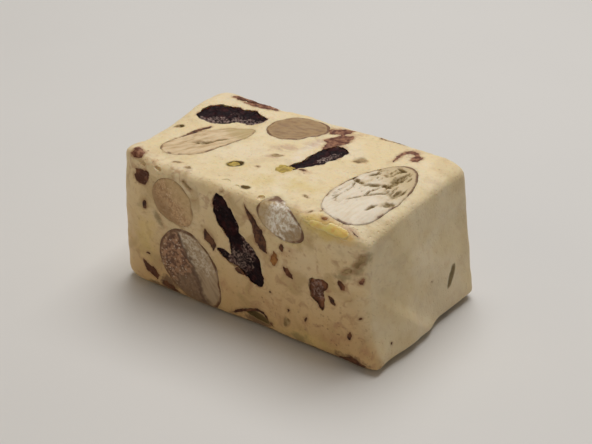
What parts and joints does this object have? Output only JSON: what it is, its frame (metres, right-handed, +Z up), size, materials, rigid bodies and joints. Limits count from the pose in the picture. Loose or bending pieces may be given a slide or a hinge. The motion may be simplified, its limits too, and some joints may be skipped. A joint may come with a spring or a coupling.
{
  "type": "nougat bar",
  "caption": "Knife-cut block of soft cream nougat, with roasted almonds, dried cranberries and candied peel showing at its cut faces.",
  "frame": {"origin": "middle of the footprint, on the surface that the piece lies on", "axes": "+X along the piece to its smooth outer end, +Y from the front cut face to the back one, +Z up"},
  "size_m": [0.0548, 0.0314, 0.0261],
  "materials": {
    "nougat": "soft, faintly waxy cream nougat with fine drag marks on the cut faces",
    "almond": "dry roasted almond, pale and flaky where cut, with a thin brown skin",
    "cranberry": "leathery dark maroon dried fruit with a broken shine",
    "peel": "moist translucent candied peel"
  },
  "bodies": {
    "root": {"nougat": "nougat", "almond_top_right": "almond", "almond_top_left": "almond", "almond_top_back": "almond", "almond_top_edge": "almond", "almond_front_upper": "almond", "almond_front_lower": "almond", "almond_back_right": "almond", "almond_back_middle": "almond", "almond_back_left": "almond", "almond_bottom_left": "almond", "almond_bottom_middle": "almond", "almond_bottom_right": "almond", "cranberry_top_left": "cranberry", "cranberry_top_back": "cranberry", "cranberry_top_middle": "cranberry", "cranberry_front_middle": "cranberry", "cranberry_front_right": "cranberry", "cranberry_back_middle": "cranberry", "cranberry_back_right": "cranberry", "cranberry_back_foot": "cranberry", "cranberry_bottom_middle": "cranberry", "cranberry_bottom_left": "cranberry", "peel_front_edge": "peel", "peel_back": "peel"}
  },
  "joints": []
}
